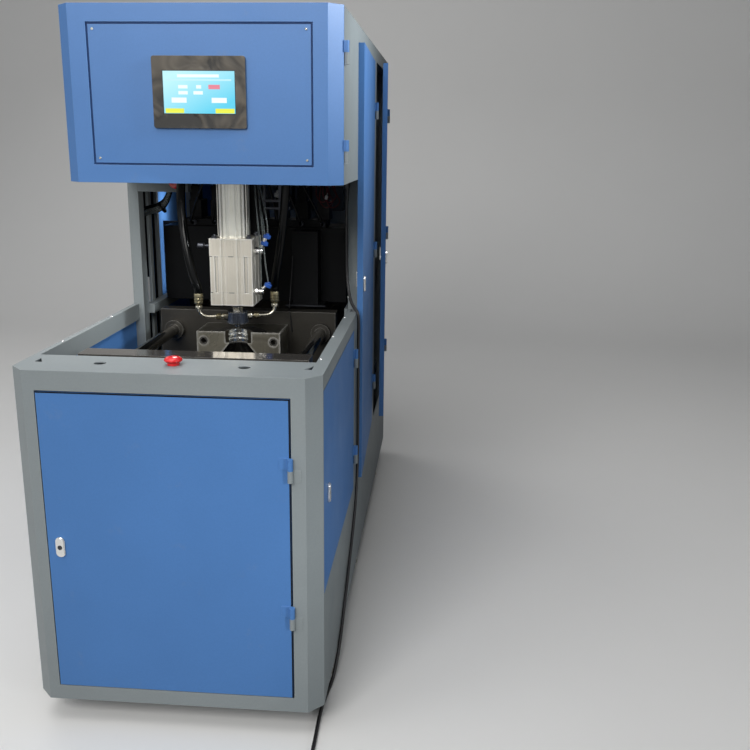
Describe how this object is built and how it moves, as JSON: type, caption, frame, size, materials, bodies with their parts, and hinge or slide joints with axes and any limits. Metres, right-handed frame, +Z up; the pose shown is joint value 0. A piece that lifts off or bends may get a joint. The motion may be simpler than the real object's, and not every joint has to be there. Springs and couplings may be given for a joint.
{
  "type": "blow moulding machine",
  "caption": "Blow moulding machine: bevelled base with an open mould bay, a blow cylinder under an overhanging control head, and a rear cabinet with hinged doors.",
  "frame": {"origin": "on the floor, at the middle of the machine's box without its free cable", "axes": "+X to the right seen from the front, +Y to the back, +Z up"},
  "size_m": [0.6492, 2.057, 1.4752],
  "materials": {
    "blue_coat": "satin powder coat",
    "grey_coat": "satin powder coat",
    "black_coat": "matt black paint",
    "tank_coat": "gloss enamel",
    "mould_steel": "oiled dark steel",
    "ground_steel": "ground",
    "chrome_steel": "polished",
    "cylinder_aluminium": "anodised",
    "pipe_brass": "nickel plated",
    "galvanised": "galvanised",
    "switch_plastic": "moulded",
    "red_plastic": "glossy",
    "black_plastic": "fine grain",
    "blue_plastic": "glossy",
    "screen_glass": "lit display",
    "clear_tube": "clear polyurethane",
    "hose_rubber": "smooth rubber",
    "cable_rubber": "matt sheath"
  },
  "bodies": {
    "frame": {"base_front": "grey_coat", "base_frame": "grey_coat", "side_rails": "grey_coat", "lower_skirts": "grey_coat", "columns": "grey_coat", "cabinet_frame": "grey_coat", "cabinet_top": "grey_coat", "rear_panel": "grey_coat", "left_panels": "blue_coat", "head_sides": "grey_coat", "frame_hinges": "grey_coat", "levelling_feet": "ground_steel", "stop_block": "black_plastic", "clamp_bed": "mould_steel", "fixed_platen": "mould_steel", "rear_mould_half": "mould_steel", "rear_neck_ring": "chrome_steel", "slide_bushes": "black_coat", "base_plug": "ground_steel", "clamp_cylinder": "cylinder_aluminium", "cylinder_bracket": "black_coat", "seal_cylinder": "cylinder_aluminium", "stretch_cylinder": "cylinder_aluminium", "valve_box": "black_coat", "air_tank": "tank_coat", "electrics_plate": "galvanised", "contactors": "switch_plastic", "air_tubes": "clear_tube", "controller_bodies": "chrome_steel", "controller_heads": "blue_plastic", "air_hoses": "hose_rubber", "cable": "cable_rubber", "cable_coil": "cable_rubber", "cable_plug": "black_plastic", "cable_gland": "black_plastic"},
    "clamp": {"moving_platen": "mould_steel", "front_mould_half": "mould_steel", "front_neck_ring": "chrome_steel", "guide_pins": "pipe_brass", "tie_bars": "black_coat", "tie_bar_nuts": "ground_steel", "crosshead": "mould_steel", "clamp_rod": "chrome_steel"},
    "nozzle": {"seal_nozzle": "mould_steel", "elbow_pipes": "pipe_brass"},
    "stretch": {"stretch_rod": "chrome_steel"},
    "front_door_leaf": {"front_door": "blue_coat"},
    "front_door_lock": {"front_lock": "chrome_steel"},
    "side_door_leaf": {"side_door": "blue_coat"},
    "side_door_lock": {"side_lock": "chrome_steel"},
    "forward_cabinet_door": {"cabinet_door_1": "blue_coat"},
    "forward_cabinet_lock": {"cabinet_lock_1": "chrome_steel"},
    "rear_cabinet_door": {"cabinet_door_2": "blue_coat"},
    "rear_cabinet_lock": {"cabinet_lock_2": "chrome_steel"},
    "head_door": {"head_cover": "blue_coat", "hmi_panel": "blue_coat", "hmi_bezel": "black_plastic", "hmi_screen": "screen_glass"},
    "base_button": {"stop_button": "red_plastic"},
    "head_button": {"upper_button": "red_plastic"}
  },
  "joints": [
    {"name": "clamp_slide", "type": "slide", "parent": "frame", "child": "clamp", "axis": [0, 1, 0], "range_m": [0, 0.2527]},
    {"name": "nozzle_slide", "type": "slide", "parent": "frame", "child": "nozzle", "axis": [0, 0, -1], "range_m": [0, 0.018], "deforming": ["air_hoses"]},
    {"name": "stretch_slide", "type": "slide", "parent": "frame", "child": "stretch", "axis": [0, 0, -1], "range_m": [0, 0.27]},
    {"name": "front_door_hinge", "type": "hinge", "parent": "frame", "child": "front_door_leaf", "pos_m": [0.22641, -0.89387, 0.41], "axis": [0, 0, 1], "range_deg": [0, 110]},
    {"name": "front_lock_turn", "type": "hinge", "parent": "front_door_leaf", "child": "front_door_lock", "pos_m": [-0.24359, -0.88762, 0.406], "axis": [0, -1, 0], "range_deg": [0, 90]},
    {"name": "side_door_hinge", "type": "hinge", "parent": "frame", "child": "side_door_leaf", "pos_m": [0.29091, -0.27563, 0.52], "axis": [0, 0, 1], "range_deg": [0, 110]},
    {"name": "side_lock_turn", "type": "hinge", "parent": "side_door_leaf", "child": "side_door_lock", "pos_m": [0.28541, -0.79163, 0.507], "axis": [1, 0, 0], "range_deg": [0, 90]},
    {"name": "forward_cabinet_hinge", "type": "hinge", "parent": "frame", "child": "forward_cabinet_door", "pos_m": [0.29091, 0.31838, 0.87], "axis": [0, 0, 1], "range_deg": [-1.5, 105]},
    {"name": "forward_lock_turn", "type": "hinge", "parent": "forward_cabinet_door", "child": "forward_cabinet_lock", "pos_m": [0.2992, -0.17559, 0.842], "axis": [0.9996, 0.0279, 0], "range_deg": [0, 90]},
    {"name": "rear_cabinet_hinge", "type": "hinge", "parent": "frame", "child": "rear_cabinet_door", "pos_m": [0.29091, 0.86338, 0.87], "axis": [0, 0, 1], "range_deg": [-3.9, 105]},
    {"name": "rear_lock_turn", "type": "hinge", "parent": "rear_cabinet_door", "child": "rear_cabinet_lock", "pos_m": [0.31835, 0.39214, 0.842], "axis": [0.9976, 0.0698, 0], "range_deg": [0, 90]},
    {"name": "head_door_hinge", "type": "hinge", "parent": "frame", "child": "head_door", "pos_m": [0.29091, -0.51062, 1.29], "axis": [0, 0, 1], "range_deg": [0, 100]},
    {"name": "base_button_press", "type": "slide", "parent": "frame", "child": "base_button", "axis": [0, 0, -1], "range_m": [0, 0.004], "stiffness_N_per_m": 900, "springref_m": -0.002},
    {"name": "head_button_press", "type": "slide", "parent": "frame", "child": "head_button", "axis": [0, 1, 0], "range_m": [0, 0.004], "stiffness_N_per_m": 900, "springref_m": -0.002}
  ]
}
